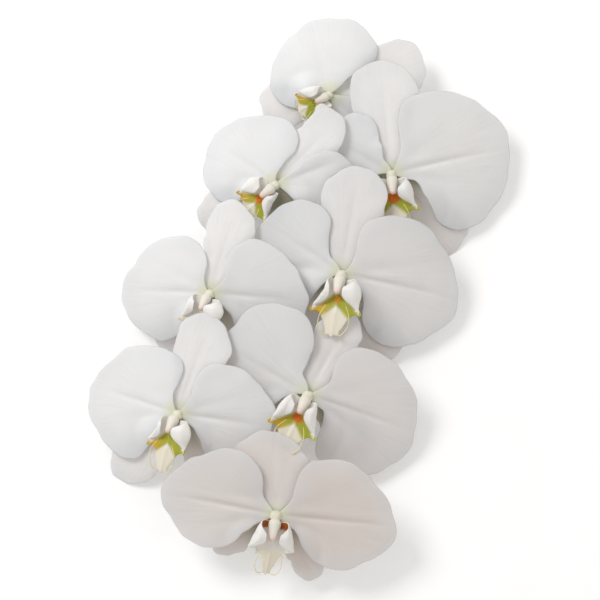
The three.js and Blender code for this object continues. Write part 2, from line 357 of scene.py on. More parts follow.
# %% [markdown]
# ## Petals and sepals
#
# A petal could be sculpted, or simulated as cloth, but its shape is simple: a thin blade over an outline,
# gently cupped, with a crease along the midrib. So each is grown as a fan of rings over the outline of
# its sheet in the frame. The rings carry the relief: the creases, a few fine grooves along the veins, a
# soft wave near the margin and the margin's roll backwards.
#
# First the sheet is measured. Its upright edges stand along the margin, and their middles lie on one
# smooth surface, which six numbers describe.

# %% Measure a sheet
UPRIGHT = 0.000002  # an edge that leans less than this, in metres, is upright
MERGE = 0.000001
CURVE_STEPS = 24  # steps from corner to corner of a smooth loop


def surface_terms(x, y):
    return np.stack([np.ones_like(x), x, y, x * x, x * y, y * y], axis=-1)


def measure_sheet(node):
    """The margin of a sheet in order, and the surface through the middle of its thickness, in mm."""
    sheet = bmesh.new()
    sheet.from_mesh(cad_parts[node].data)
    bmesh.ops.remove_doubles(sheet, verts=sheet.verts, dist=MERGE)
    margin = []
    for edge in sheet.edges:
        a, b = edge.verts
        if (a.co - b.co).xy.length < UPRIGHT:
            margin.append((a.co + b.co) / 2)
    sheet.free()
    margin = np.array(margin) / MM
    out = margin[:, :2] - margin[:, :2].mean(axis=0)
    margin = margin[np.argsort(np.arctan2(out[:, 1], out[:, 0]))]
    surface = np.linalg.lstsq(surface_terms(margin[:, 0], margin[:, 1]), margin[:, 2], rcond=None)[0]
    return margin[:, :2], surface


def smooth_loop(corners, count):
    """A smooth closed curve through corner points, as evenly spaced points."""
    loop = []
    total = len(corners)
    for here in range(total):
        p0, p1, p2, p3 = (corners[(here + step) % total] for step in (-1, 0, 1, 2))
        a, b, c = (max(norm(gap), 1e-6) ** 0.5 for gap in (p1 - p0, p2 - p1, p3 - p2))
        leave = b * ((p1 - p0) / a - (p2 - p0) / (a + b) + (p2 - p1) / b)
        arrive = b * ((p2 - p1) / b - (p3 - p1) / (b + c) + (p3 - p2) / c)
        for t in np.linspace(0, 1, CURVE_STEPS, endpoint=False):
            square, cube = t * t, t * t * t
            point = (2 * cube - 3 * square + 1) * p1 + (cube - 2 * square + t) * leave
            loop.append(point + (3 * square - 2 * cube) * p2 + (cube - square) * arrive)
    loop = np.array(loop)
    closed = np.vstack([loop, loop[:1]])
    walked = np.concatenate([[0], np.cumsum(norm(np.diff(closed, axis=0), axis=1))])
    even = np.linspace(0, walked[-1], count, endpoint=False)
    return np.stack([np.interp(even, walked, closed[:, axis]) for axis in (0, 1)], axis=-1)


margin, surface = measure_sheet(blooms[0] + "_petal_left")
print("margin points:", len(margin), "surface:", surface.round(4))

# %% [markdown]
# Every blade is the same fan of rings, so its faces are listed once. The rings stand closer together
# towards the margin, where the blade is thinnest and curls most.

# %% The fan of rings
RINGS = 38
SPOKES = 200
FAN_FACES = fan_faces(RINGS, SPOKES, True)
INSIDE = slice(0, 1 + (RINGS - 1) * SPOKES)  # all of a fan but its margin
even_shares = np.linspace(0, 1, RINGS + 1)[1:]
RING_SHARES = 0.55 * even_shares + 0.45 * np.sin(even_shares * math.pi / 2)
print("faces in a blade:", len(FAN_FACES))

# %% [markdown]
# The margin of a petal is never a clean curve, so it gets four small waves of different counts. Each
# blade has its own waves, drawn from a seeded generator, so no two are alike and every run gives the
# same spray.

# %% The margin of a blade
MARGIN_WAVES = {4: 0.45, 7: 0.32, 11: 0.2, 17: 0.12}  # waves around the margin and their size in mm
WAVES_START, WAVES_GROW = 8, 10  # they start this far from the bloom's centre and grow over this much
CLAW_PULL, CLAW_AT, CLAW_WIDTH = 0.65, 3.2, 1.6  # how the claw is drawn in to the centre
BASE_AT, BASE_WIDTH = 8, 5  # where the blade's base is widened


def heading(degrees):
    """A direction on the plane, in degrees counter-clockwise from +X."""
    return np.array([math.cos(math.radians(degrees)), math.sin(math.radians(degrees))])


def turned(direction):
    """A direction on the plane, a quarter turn counter-clockwise."""
    return np.array([-direction[1], direction[0]])


def shape_margin(outline, centre, hub, axis, base, chance):
    """The outline with an uneven margin, a narrow claw and a base that is wide enough."""
    out = outline - centre
    bearing = np.arctan2(out[:, 1], out[:, 0])
    from_hub = norm(outline - hub, axis=1)
    nibble = sum(
        size * np.sin(count * bearing + chance.uniform(0, 6.3)) for count, size in MARGIN_WAVES.items()
    )
    nibble *= rising(from_hub, WAVES_START, WAVES_GROW)
    outline = outline + out / norm(out, axis=1, keepdims=True) * nibble[:, None]
    drawn_in = 1 - CLAW_PULL * swell(from_hub, CLAW_AT, CLAW_WIDTH)
    outline = hub + (outline - hub) * drawn_in[:, None]
    flank = np.sign((outline - hub) @ turned(axis))
    return outline + np.outer(flank * base * swell(from_hub, BASE_AT, BASE_WIDTH), turned(axis))


print("a quarter turn from +X:", turned(heading(0)).round(2))

# %% [markdown]
# The relief is a sum of gentle functions of three things: how far a point is along the blade, how far
# it is across it, and how near the margin.

# %% The relief of a blade
# How strong each kind of relief is, in mm. fan is the half angle that the veins open to.
RELIEF = {
    "petal": dict(
        crease=0.35, crease_width=1.2, valley=1.4, valley_width=9, base=1.0,
        vein=0.05, bulge=2.4, wave=0.75, roll=0.35, fan=1.1,
    ),
    "sepal": dict(
        crease=0.22, crease_width=1.3, valley=1.0, valley_width=7, base=3.2,
        vein=0.09, bulge=0.0, wave=0.5, roll=0.35, fan=0.5,
    ),
}
VEIN_GROOVES = 6
WAVE_COUNTS = (2, 3, 5, 8)
BULGE_TURN = 62  # degrees from the midrib towards the lip, where a petal swells beside it
BULGE_OUT, BULGE_SIZE, BULGE_RIM = 0.34, 0.15, 0.24  # shares of the blade's length

# The marked creases of petals, by bloom and side: where they head, in degrees counter-clockwise from
# +X, and their depth and width in mm. The first is the midrib.
CREASES = {
    "1_left": [(107, 0.39, 1.7), (176, 0.4, 2)],
    "2_left": [(150, 0.23, 1.8)],
    "2_right": [(13, 0.7, 1.3), (-8, 0.4, 2.4), (40, 0.3, 3)],
    "3_left": [(145, 0.35, 1.6), (170, 0.3, 2.4)],
    "3_right": [(20, 0.39, 1.6)],
    "4_left": [(146, 0.35, 1.7), (172, 0.35, 2.4)],
    "4_right": [(-12, 0.74, 1.3), (6, 0.4, 2.6), (-40, 0.3, 3)],
    "5_left": [(178, 0.51, 1.4), (150, 0.3, 2.4)],
    "5_right": [(-5, 0.43, 1.4)],
    "6_left": [(150, 0.39, 1.6), (120, 0.3, 2.6)],
    "6_right": [(-20, 0.74, 1.3), (-38, 0.35, 2.4), (5, 0.3, 3)],
    "7_left": [(162, 0.58, 1.4), (185, 0.35, 2.4)],
    "7_right": [(-8, 0.55, 1.4), (14, 0.3, 2.4)],
    "8_left": [(169, 0.86, 1.3), (188, 0.4, 2.4), (150, 0.3, 3)],
    "8_right": [(-6, 0.94, 1.3), (-26, 0.4, 2.4), (18, 0.3, 3)],
}


def crease_lift(offset, length, toward, depth, width):
    """One crease: a groove with a low ridge along its upper side, which fades out before the margin."""
    line = heading(toward)
    run = offset @ line / length
    aside = offset @ turned(line) * math.copysign(1, line[0])
    profile = 0.5 * swell(aside, 2.4 * width, 1.7 * width) - swell(aside, 0, width)
    return depth * profile * rising(run, 0, 0.25) * (1 - rising(run, 0.25 + 0.25 * depth, 0.5))


def blade_lift(offset, rays, share, length, creases, relief, chance):
    """How far the blade rises from its sheet. offset is each point's place from the bloom's centre."""
    axis = heading(creases[0][0])
    along, across = offset @ axis, offset @ turned(axis)
    reach = np.hypot(along, across)
    fan = np.arctan2(across, along)
    far = rising(along, 0, length)
    fade = rising(far, 0, 0.2) * (1 - rising(far, 0.395, 0.625))
    lift = -relief["valley"] * np.exp(-np.sqrt(across**2 + 1) / relief["valley_width"]) * fade
    for crease in creases:
        lift += crease_lift(offset, length, *crease)
    for _ in range(VEIN_GROOVES):
        direction = chance.uniform(-0.9, 0.9) * relief["fan"]
        depth = chance.uniform(0.25, 1.0) * relief["vein"]
        width = chance.uniform(0.03, 0.06)
        lift -= depth * swell(fan, direction, width) * fade * rising(reach, 0, 12)
    lip_side = math.copysign(1, -axis[0])
    bulge_at = heading(creases[0][0] + BULGE_TURN * lip_side) * BULGE_OUT * length
    from_bulge = norm(offset - bulge_at, axis=1)
    rim = swell(from_bulge, BULGE_RIM * length, 3.0) * rising(reach, 0, 20)
    lift += relief["bulge"] * (swell(from_bulge, 0, BULGE_SIZE * length) - 0.22 * rim)
    around = np.arctan2(rays[:, 1], rays[:, 0])
    wave = np.zeros_like(share)
    for count in WAVE_COUNTS:
        size = 2 * relief["wave"] * chance.uniform(0.5, 1.0) / count
        wave += size * np.sin(count * around + chance.uniform(0, 6.3))
    lift += wave * share**3 * rising(reach, 0, 15)
    lift -= relief["roll"] * share**9 * rising(reach, 5, 10)
    return lift


print("petals with creases of their own:", len(CREASES))

# %% [markdown]
# A blade is then its sheet's surface, lifted by the relief, with half its thickness above and below.
# Fresh petals are about 0.3 mm thin at the margin and get thicker towards the claw.

# %% Grow a blade
CLAW_THICKNESS = 0.85
MARGIN_THICKNESS = 0.34
LOWEST = 0.05  # mm above the table


def grow_blade(node, kind, seed, tone):
    """A petal or sepal over the sheet of that name."""
    chance = np.random.default_rng(seed)
    relief = RELIEF[kind]
    corners, surface = measure_sheet(node)
    centre = corners.mean(axis=0)
    hub = axes_of[node[: len(blooms[0])]][:2, 3]
    usual = math.degrees(math.atan2(*(centre - hub)[::-1]))
    own_creases = CREASES.get(node.replace("bloom_", "").replace("petal_", ""))
    creases = own_creases or [(usual, relief["crease"], relief["crease_width"])]
    axis = heading(creases[0][0])
    outline = smooth_loop(corners, SPOKES)
    length = ((outline - hub) @ axis).max()
    outline = shape_margin(outline, centre, hub, axis, relief["base"], chance)

    place, rays, share = fan_points(outline, centre, RING_SHARES)
    offset = place - hub
    reach = np.hypot(*offset.T)
    lift = blade_lift(offset, rays, share, length, creases, relief, chance)

    thickness = CLAW_THICKNESS + (MARGIN_THICKNESS - CLAW_THICKNESS) * rising(reach, 0, length) ** 0.7
    half = 0.5 * thickness * np.sqrt(np.clip(1 - share**10, 0, 1))
    middle = surface_terms(place[:, 0], place[:, 1]) @ surface + lift
    top = np.column_stack([place, middle + half])
    low = np.column_stack([place, middle - half])[INSIDE]
    points = np.vstack([top, low])
    points[:, 2] = np.maximum(points[:, 2], LOWEST)

    values = {
        "reach_mm": reach,
        "fan": np.arctan2(offset @ turned(axis), offset @ axis),
        "share": share,
        # painted shade: the lateral sepals' bases lie in shadow deep beside the lip
        "shaded": swell(reach, 9, 9) * ("lateral" in node),
    }
    values = {key: np.concatenate([numbers, numbers[INSIDE]]) for key, numbers in values.items()}
    return new_piece(f"{kind}_of_{node}", points, FAN_FACES, values | {"tone": tone})


print("claw and margin, mm thick:", CLAW_THICKNESS, MARGIN_THICKNESS)

# %% [markdown]
# ## What petals are made of
#
# A moth orchid's petal is a few layers of clear, water-filled cells under a waxy skin. It looks white
# because air between the cells scatters light, so it has no pigment, a soft glow from light inside the
# flesh, a satin gloss and a faint sparkle from the dome of each skin cell. Veins run out from the claw
# and are a shade darker, because there is less air along them. Near the centre the flesh is thick and
# faintly green and yellow.
#
# Typical values: plant tissue has an IOR of about 1.4, a waxy skin has a roughness of about 0.5, and
# light travels 1 to 3 mm inside white petals.

# %% Petal flesh
VEIN_SPACING_DEGREES = 1.7
VEIN_STREAK_MM = 20  # how long one dark or light streak along a vein is
SKIN_CELL_MM = 0.35  # real cells are about 0.05 mm, drawn coarser so that they show
PATCH_SCALE = 90  # patches of clearer veins and of gloss, about a centimetre across
CENTRE_TINT_MM = (2.0, 10.5)  # the centre's tint fades out over this stretch


def petal_flesh(name, cool, cream_and_shade, centre, glow):
    """Waxy white petal tissue, from cool white to a darker cream that is partly painted shade."""
    # Glow is light that wanders through the flesh, red a little further than blue. The sheen is the
    # faint velvet of the domed skin cells.
    material, tree = new_material(name, {
        "IOR": 1.4, "Specular IOR Level": 0.35, "Sheen Weight": 0.12, "Sheen Roughness": 0.4,
        "Subsurface Weight": glow, "Subsurface Radius": (1.0, 0.85, 0.75), "Subsurface Scale": 2.2 * MM,
    })
    tone, fan, reach, share, shaded = (
        read(tree, key) for key in ("tone", "fan", "reach_mm", "share", "shaded")
    )

    # Veins are noise in a fan, much longer than it is wide, and clearest near the midrib.
    vein_place = add_node(tree, "CombineXYZ", None, {
        "X": reckon(tree, "MULTIPLY", fan, math.degrees(1) / VEIN_SPACING_DEGREES),
        "Y": reckon(tree, "MULTIPLY", reach, 1 / VEIN_STREAK_MM),
        "Z": tone,
    })
    veins = grain_of(tree, 1.0, 3.0, 0.55, vein_place)
    patches = grain_of(tree, PATCH_SCALE, 3.0)
    strength = mapped(tree, patches, (0.35, 0.7), (0.02, 0.3))
    near_middle = mapped(tree, reckon(tree, "ABSOLUTE", fan), (0.1, 1.0), (1.0, 0.3), "SMOOTHSTEP")
    vein_share = reckon(tree, "MULTIPLY", strength, near_middle)
    vein_colour = ramp(tree, veins, [(0.32, "#E6E5E2"), (0.62, "#FFFFFF")])
    colour = mixed(tree, vein_share, mixed(tree, tone, cool, cream_and_shade), vein_colour, "MULTIPLY")

    # The centre is tinted. The margin is painted a little greyer, as shade where the blade curls away, and
    # the lateral sepals'
    #  bases, deep beside the lip, get a dull grey-green painted shade for the shadow in the pocket there.
    near_centre = mapped(tree, reach, CENTRE_TINT_MM, (0.9, 0.0), "SMOOTHERSTEP")
    colour = mixed(tree, near_centre, colour, centre)
    # Painted shade: the margin greys where the blade curls away from the light.
    margin_shade = mapped(tree, share, (0.5, 1.0), (0.0, 0.3), "SMOOTHSTEP")
    colour = mixed(tree, margin_shade, colour, "#D6D8DB")
    colour = mixed(tree, shaded, colour, "#A3A190")

    place = add_node(tree, "TexCoord").outputs["Object"]
    cells = add_node(tree, "TexVoronoi", None, {"Vector": place, "Scale": 1 / (SKIN_CELL_MM * MM)})
    skin = bumped(tree, cells, 0.12, 0.04)
    fine = bumped(tree, veins, 0.2, 0.1, skin)
    gloss = mapped(tree, patches, (0.3, 0.7), (0.42, 0.58))
    dress(tree, base_color=colour, normal=fine.outputs[0], roughness=gloss.outputs[0])
    return material


petal_white = petal_flesh("waxy_white_petal", "#F3F3F3", "#DAD1CC", "#E5E6C4", 0.4)
# The sepals' white is painted a little brighter than the petals' to offset the shade that neighbouring
# blooms cast on them.
sepal_white = petal_flesh("waxy_white_sepal", "#FAF7F5", "#DAD0CB", "#E7E7CC", 0.35)
print("petal materials:", petal_white.name, sepal_white.name)

# %% [markdown]
# Blooms of one spray aren't one white. The top ones are the coolest here, and the lowest is the most cream.
# The darker cream is partly
#  painted shade: it is laid on deeper for the lowest bloom and for the parts that lie away from the window
#      light.

# %% Grow every petal and sepal
# How far each bloom goes from the coolest, brightest white (0) to the darker cream (1), which is partly
# painted shade. Its parts differ a little.
TONE_AND_SHADE = {
    "bloom_1": 0.05, "bloom_2": 0.1, "bloom_3": 0.0, "bloom_4": 0.25,
    "bloom_5": 0.12, "bloom_6": 0.42, "bloom_7": 0.12, "bloom_8": 0.8,
}
# Painted shade: the lateral sepals and the right petal, which lie lower or away from the window light, are
# pushed towards the darker cream, and the left petal a little away from it.
PAINTED_SHADE_SHIFTS = {
    "dorsal_sepal": 0.0, "lateral_sepal_left": 0.15, "lateral_sepal_right": 0.4,
    "petal_left": -0.05, "petal_right": 0.2,
}
FLESH = {"petal": petal_white, "sepal": sepal_white}
for number, bloom in enumerate(blooms):
    for place, (organ, shift) in enumerate(PAINTED_SHADE_SHIFTS.items()):
        node = f"{bloom}_{organ}"
        kind = "sepal" if "sepal" in organ else "petal"
        tone = min(max(TONE_AND_SHADE[bloom] + shift, 0), 1)
        blade = grow_blade(node, kind, 100 * number + place, tone)
        finish_piece(blade, FLESH[kind], node)
print("blades grown:", len(blooms) * len(PAINTED_SHADE_SHIFTS))

# %% [markdown]
# ## The column
#
# The column is the rod in the middle of the bloom, in which stamens and style are one. It is waxy, a
# little wider above its foot, hollowed underneath, and capped by a small smooth hood over the pollen.
# The sepals, the petals and the column all grow from one cushion of flesh, the receptacle. Rod, hood and
# cushion are made as rough closed shapes and then fused by a voxel remesh, which rounds the joints as
# they are in the flower.

# %% Round bodies and fusing
EGG_TURN = 1.45  # radians from the middle of an egg to its flat ends


def round_body(profile, centre, direction, sides=28, squash=(1, 1), shape=None):
    """Points and faces of a body round about an axis, from (along, radius) stations, with closed ends."""
    direction = np.array(direction) / norm(direction)
    aside = np.cross(direction, [1, 0, 0])
    aside /= norm(aside)
    sideways = np.cross(aside, direction)
    angles = np.linspace(0, 2 * math.pi, sides, endpoint=False)
    rings = []
    for along, radius in profile:
        size = radius * (shape(along, angles) if shape else 1)
        ring = np.outer(np.cos(angles) * size * squash[0], sideways)
        ring += np.outer(np.sin(angles) * size * squash[1], aside)
        rings.append(ring + np.array(centre) + along * direction)
    return np.vstack(rings), tube_faces(len(profile), sides)


def egg(half_length, radius, steps):
    """The (along, radius) stations of an egg-shaped body."""
    turns = np.linspace(-EGG_TURN, EGG_TURN, steps)
    return [(half_length * math.sin(turn), radius * math.cos(turn)) for turn in turns]


def fuse(name, bodies, voxel, passes):
    """Several closed bodies as one rounded mesh, in mm."""
    points = np.vstack([body[0] for body in bodies])
    faces = []
    start = 0
    for body_points, body_faces in bodies:
        faces += [tuple(start + corner for corner in face) for face in body_faces]
        start += len(body_points)
    piece = new_piece(name, points, faces)
    run_modifier(piece, "REMESH", mode="VOXEL", voxel_size=voxel * MM)
    run_modifier(piece, "SMOOTH", factor=0.5, iterations=passes)
    return piece


def ease(stations, steps):
    """A smooth run through stations, with this many steps from each to the next."""
    stations = np.array(stations, dtype=float)
    count = len(stations)
    run = []
    for here in range(count - 1):
        p0, p1 = stations[max(here - 1, 0)], stations[here]
        p2, p3 = stations[here + 1], stations[min(here + 2, count - 1)]
        for t in np.linspace(0, 1, steps, endpoint=False):
            bow = (2 * p0 - 5 * p1 + 4 * p2 - p3) * t + (3 * p1 - p0 - 3 * p2 + p3) * t * t
            run.append(p1 + 0.5 * t * ((p2 - p0) + bow))
    return np.array(run + [stations[-1]])


# %% The column
ROD = [(1.4, 1.5), (2.2, 2.5), (3.6, 2.85), (5.5, 2.6), (7.5, 2.2), (9.2, 1.95), (10.4, 1.4), (11, 0.6)]
HOOD_ALONG = 9.3
STIGMA_ALONG, STIGMA_DEPTH = 8.6, 0.3
NIP_ALONG, NIP_DEPTH = 9.7, 0.1
COLUMN_VOXEL = 0.24


def column_shape(along, angles):
    """Thinner underneath, where the stigma's hollow is, and nipped behind the hood."""
    under = swell(np.angle(np.exp(1j * (angles + math.pi / 2))), 0, 0.7)
    hollow = STIGMA_DEPTH * swell(along, STIGMA_ALONG, 1.5) * under
    return 1 - hollow - NIP_DEPTH * swell(along, NIP_ALONG, 0.35)


def cushion_shape(along, angles):
    """Five soft corners, one for each sepal and petal."""
    return 1 + 0.05 * np.cos(5 * angles + 1.57)


def make_column():
    lean = np.array([0, -math.sin(COLUMN_LEAN), math.cos(COLUMN_LEAN)])
    foot = np.array([0, 0, COLUMN_FOOT])
    rod = round_body(ease(ROD, 6), foot, lean, 32, (1, 0.9), column_shape)
    hood_centre = foot + HOOD_ALONG * lean + np.array([0, 0.1, 0.25])
    hood = round_body(egg(1.8, 1.75, 14), hood_centre, lean, 28, (1, 0.85))
    cushion = round_body(egg(2.4, 2.7, 16), (0, -0.9, -0.3), (0, 0, 1), 40, (1, 1), cushion_shape)
    piece = fuse("column_pattern", [rod, hood, cushion], COLUMN_VOXEL, 3)
    store(piece, "along_mm", (points_of(piece.data) - foot) @ lean)
    return piece


column_pattern = make_column()
print("points in a column:", len(column_pattern.data.vertices))

# %% [markdown]
# ## The lip
#
# The lip is the third petal, turned into a landing stage. A narrow claw runs forward under the column
# and opens into a midlobe with two hooked arms and a tapering tongue. Two side lobes stand up from the
# claw and curl over like cupped hands. Between them sits the callus, a small two-humped crest, and two
# hair-thin tendrils curl back from the tongue's apex.
#
# The midlobe is a sheet over an outline, as the petals are. A side lobe is a shell lofted through four
# curves: its root on the claw, its outermost line, its crest and its free edge.

# %% The midlobe
MIDLOBE_HALF = [
    (1.5, -2.6), (1.8, -6.0), (2.5, -9.6), (5.4, -12.0), (9.0, -13.9), (11.9, -15.6), (12.9, -17.2),
    (12.2, -18.2), (9.8, -17.8), (8.0, -18.6), (6.4, -20.6), (4.9, -23.6), (3.5, -26.2), (3.4, -28.2),
    (1.5, -27.9),
]
MIDLOBE_APEX = (0.0, -28.9)
MIDLOBE_HEART = np.array([0.0, -15.0])  # where the rings of its fan start
MIDLOBE_THICKNESS = 1.1
MIDLOBE_RINGS, MIDLOBE_SPOKES = 22, 120
KEEL_HEIGHT, KEEL_WIDTH = 0.45, 1.1


def midlobe_height(x, y):
    base = -1 - 0.45 * y - 0.004 * y * y - 0.004 * x * x
    tips = 0.1 * np.clip(np.abs(x) - 8, 0, None) ** 2
    return base + tips + KEEL_HEIGHT * swell(x, 0, KEEL_WIDTH) * rising(-y, 10, 4)


def make_midlobe():
    """A closed sheet over the outline, with a rounded margin."""
    left_half = [(-x, y) for x, y in reversed(MIDLOBE_HALF)]
    outline = (MIDLOBE_HALF + [MIDLOBE_APEX] + left_half)[::-1]
    loop = smooth_loop(np.array(outline), MIDLOBE_SPOKES)
    shares = np.sin(np.linspace(0, 1, MIDLOBE_RINGS + 1)[1:] * math.pi / 2)
    place, _, share = fan_points(loop, MIDLOBE_HEART, shares)
    middle = midlobe_height(place[:, 0], place[:, 1])
    half = 0.5 * MIDLOBE_THICKNESS * np.sqrt(np.clip(1 - share**8, 0.03, 1))
    points = np.vstack([np.column_stack([place, middle + half]), np.column_stack([place, middle - half])])
    return points, fan_faces(MIDLOBE_RINGS, MIDLOBE_SPOKES, False)


midlobe = make_midlobe()
print("midlobe points:", len(midlobe[0]))

# %% The side lobes
# Each row runs from the lobe's top, beside the column, to its foot on the arm.
LOBE_ROOT = [(1.9, -5.0, 0.8), (2.3, -8.0, 2.0), (3.2, -11.0, 3.4), (6.8, -14.0, 4.6), (11.2, -16.8, 5.0)]
LOBE_OUTER = [(6.0, -3.6, 3.0), (8.6, -6.6, 4.2), (10.0, -10.4, 5.0), (10.2, -14.0, 5.4), (12.0, -17.0, 5.2)]
LOBE_CREST = [(6.6, -4.4, 6.4), (7.4, -7.2, 8.6), (7.8, -10.8, 8.8), (9.4, -14.2, 7.0), (12.0, -17.3, 5.6)]
LOBE_FREE = [(3.2, -7.0, 8.8), (2.9, -9.2, 9.3), (3.6, -11.8, 8.2), (8.0, -15.2, 6.4), (11.9, -17.5, 5.4)]
LOBE_ROWS = (LOBE_ROOT, LOBE_OUTER, LOBE_CREST, LOBE_FREE)
LOBE_THICKNESS = 0.75
LOBE_STEPS, LOBE_STEPS_OVER = 34, 30
LIP_VOXEL = 0.26


def side_lobe(side):
    """A curled shell through the four rows, thinner towards its free edge, as a closed body."""
    rows = [ease(row, 12) for row in LOBE_ROWS]
    grid = []
    for step in np.linspace(0, len(rows[0]) - 1, LOBE_STEPS).astype(int):
        over = ease([row[step] for row in rows], 12)
        grid.append(over[np.linspace(0, len(over) - 1, LOBE_STEPS_OVER).astype(int)])
    grid = np.array(grid)
    grid[:, :, 0] *= side
    normal = np.cross(np.gradient(grid, axis=0), np.gradient(grid, axis=1))
    normal /= norm(normal, axis=2, keepdims=True) + 1e-9
    thin = 1 - 0.45 * np.linspace(0, 1, LOBE_STEPS_OVER) ** 2
    shell = normal * (0.5 * LOBE_THICKNESS * thin)[None, :, None]
    points = np.vstack([(grid + shell).reshape(-1, 3), (grid - shell).reshape(-1, 3)])
    return points, shell_faces(LOBE_STEPS, LOBE_STEPS_OVER)


def callus_hump(side):
    return round_body(egg(0.9, 1, 12), (side * 0.9, -12.0, 3.9), (0, 0, 1), 20, (1.0, 1.4))


lip_bodies = [midlobe, side_lobe(1), side_lobe(-1), callus_hump(-1), callus_hump(1)]
lip_pattern = fuse("lip_pattern", lip_bodies, LIP_VOXEL, 4)
print("points in a lip:", len(lip_pattern.data.vertices))

# %% [markdown]
# The lip's colours follow its shape, so they are worked out here as masks on its points. The throat,
# around the callus, is orange, and the hollows of the side lobes are brown-red. A golden band runs out
# along the arms and is greener on the right. The tongue is cream, and the outsides of the lobes white.

# %% Lip masks
def lobe_axis(y):
    """The middle of a side lobe's hollow at a height along the lip."""
    rows = np.array(LOBE_ROWS).mean(axis=0)
    order = np.argsort(rows[:, 1])
    return np.stack([np.interp(y, rows[order, 1], rows[order, axis]) for axis in range(3)], axis=-1)


def lip_masks(piece):
    """Stores the masks, each from 0 to 1, and gives back the one of the side lobes."""
    points, normals = points_of(piece.data), rows_of(piece.data, "normal")
    x, y, z = np.abs(points[:, 0]), points[:, 1], points[:, 2]
    down = -y
    lifted = z - midlobe_height(points[:, 0], y)
    both_sides = np.column_stack([np.sign(points[:, 0]), np.ones_like(x), np.ones_like(x)])
    to_hollow = lobe_axis(y) * both_sides - points
    raised = rising(lifted, 0.7, 0.5) * rising(x, 2.6, 0.5)
    raised = np.maximum(raised, (1 - rising(down, 8.7, 0.8)) * rising(x, 2.4, 0.5))
    inside = raised * ((normals * to_hollow).sum(axis=1) > 0)
    floor_part = (1 - raised) * np.clip(normals[:, 2] * 3 + 0.5, 0, 1)
    # The band follows the arms, which slope down to both sides, and takes in their tips.
    below = (down - 9.6 - 0.8 * x) / 1.28
    band = floor_part * swell(below, 1.3, 2.8)
    band = np.maximum(band, inside * 0.8 * rising(down, 11.5, 3))
    masks = {
        "throat": floor_part * swell(x, 0, 2.8) * swell(down, 11.6, 2.1),
        "hollow": inside * swell(down, 5.4, 2.6),
        "band": np.maximum(band, rising(x, 11.2, 0.8)),
        "green": rising(points[:, 0], -8, 6),
        "tongue": (1 - raised) * rising(down, 14, 4),
    }
    for key, numbers in masks.items():
        store(piece, key, numbers)
    for key, numbers in zip(("own_x", "own_y", "own_z"), points.T):
        store(piece, key, numbers)
    return raised


lip_raised = lip_masks(lip_pattern)
print("masks on the lip:", [a.name for a in lip_pattern.data.attributes if a.domain == "POINT"])

# %% [markdown]
# ## What the column and lip are made of
#
# Both are firm and waxy, smoother than the petals, so their highlights are tighter. The column is cream
# with a faint blush of pink at its tip. The lip's pigments sit in the skin, in fine speckles and streaks,
# and they are strongest where an insect would look.

# %% Column and lip materials
def waxy_flesh(name, glow, roughness):
    """Firm waxy tissue: the shader's steady values, before any colour."""
    return new_material(name, {
        "IOR": 1.4, "Roughness": roughness, "Specular IOR Level": 0.4,
        "Subsurface Weight": glow, "Subsurface Radius": (1.0, 0.8, 0.55), "Subsurface Scale": 1.5 * MM,
    })


def column_flesh():
    material, tree = waxy_flesh("waxy_cream_column", 0.35, 0.4)
    share = mapped(tree, read(tree, "along_mm"), (-3.0, 13.0))
    colour = ramp(tree, share, [
        (0.0, "#E6E6CC"), (0.2, "#EEEBD8"), (0.36, "#F1EDE0"),
        (0.66, "#F4EFE4"), (0.82, "#F1DCD2"), (0.9, "#E6B9AC")])
    grain = grain_of(tree, 900, 4.0)
    colour = mixed(tree, 0.12, colour, grain.outputs["Color"], "MULTIPLY")
    dress(tree, base_color=colour, normal=bumped(tree, grain, 0.25, 0.05).outputs[0])
    return material


def speckled(tree, speckle, mask, strength, edge, ends):
    """A mask of the lip, as strong as the bloom has it, with an edge broken up by speckles."""
    level = reckon(tree, "MULTIPLY", read(tree, mask), read(tree, strength))
    share = reckon(tree, "MULTIPLY_ADD", speckle, edge, level, clamp=True)
    return mapped(tree, share, ends, way="SMOOTHSTEP")


def lip_flesh():
    """Cream with a golden band, an orange throat and brown-red hollows."""
    material, tree = waxy_flesh("waxy_lip", 0.25, 0.42)
    own = add_node(tree, "CombineXYZ", None, {axis: read(tree, "own_" + axis.lower()) for axis in "XYZ"})
    grain = grain_of(tree, 1.3, 4.0, 0.7, own)
    speckle = reckon(tree, "MULTIPLY_ADD", grain, 0.5, -0.25)
    colour = mixed(tree, read(tree, "tongue"), "#F3F0EB", "#E8E1CF")
    golden = mixed(tree, read(tree, "green"), "#CBA922", "#AAAC36")
    colour = mixed(tree, speckled(tree, speckle, "band", "yellow", 1.0, (0.15, 0.75)), colour, golden)
    colour = mixed(tree, speckled(tree, speckle, "throat", "red", 3.5, (0.25, 0.9)), colour, "#DC7A22")
    colour = mixed(tree, speckled(tree, speckle, "hollow", "flush", 2.0, (0.25, 0.8)), colour, "#A9602C")
    dress(tree, base_color=colour, normal=bumped(tree, grain, 0.3, 0.06).outputs[0])
    return material


waxy_cream_column = column_flesh()
waxy_lip = lip_flesh()
print("waxy materials:", waxy_cream_column.name, waxy_lip.name)

# %% [markdown]
# The bloom's axes carry a pattern's points to their place, and every copy is its own mesh, so each lip
# can be bent a little on the way.

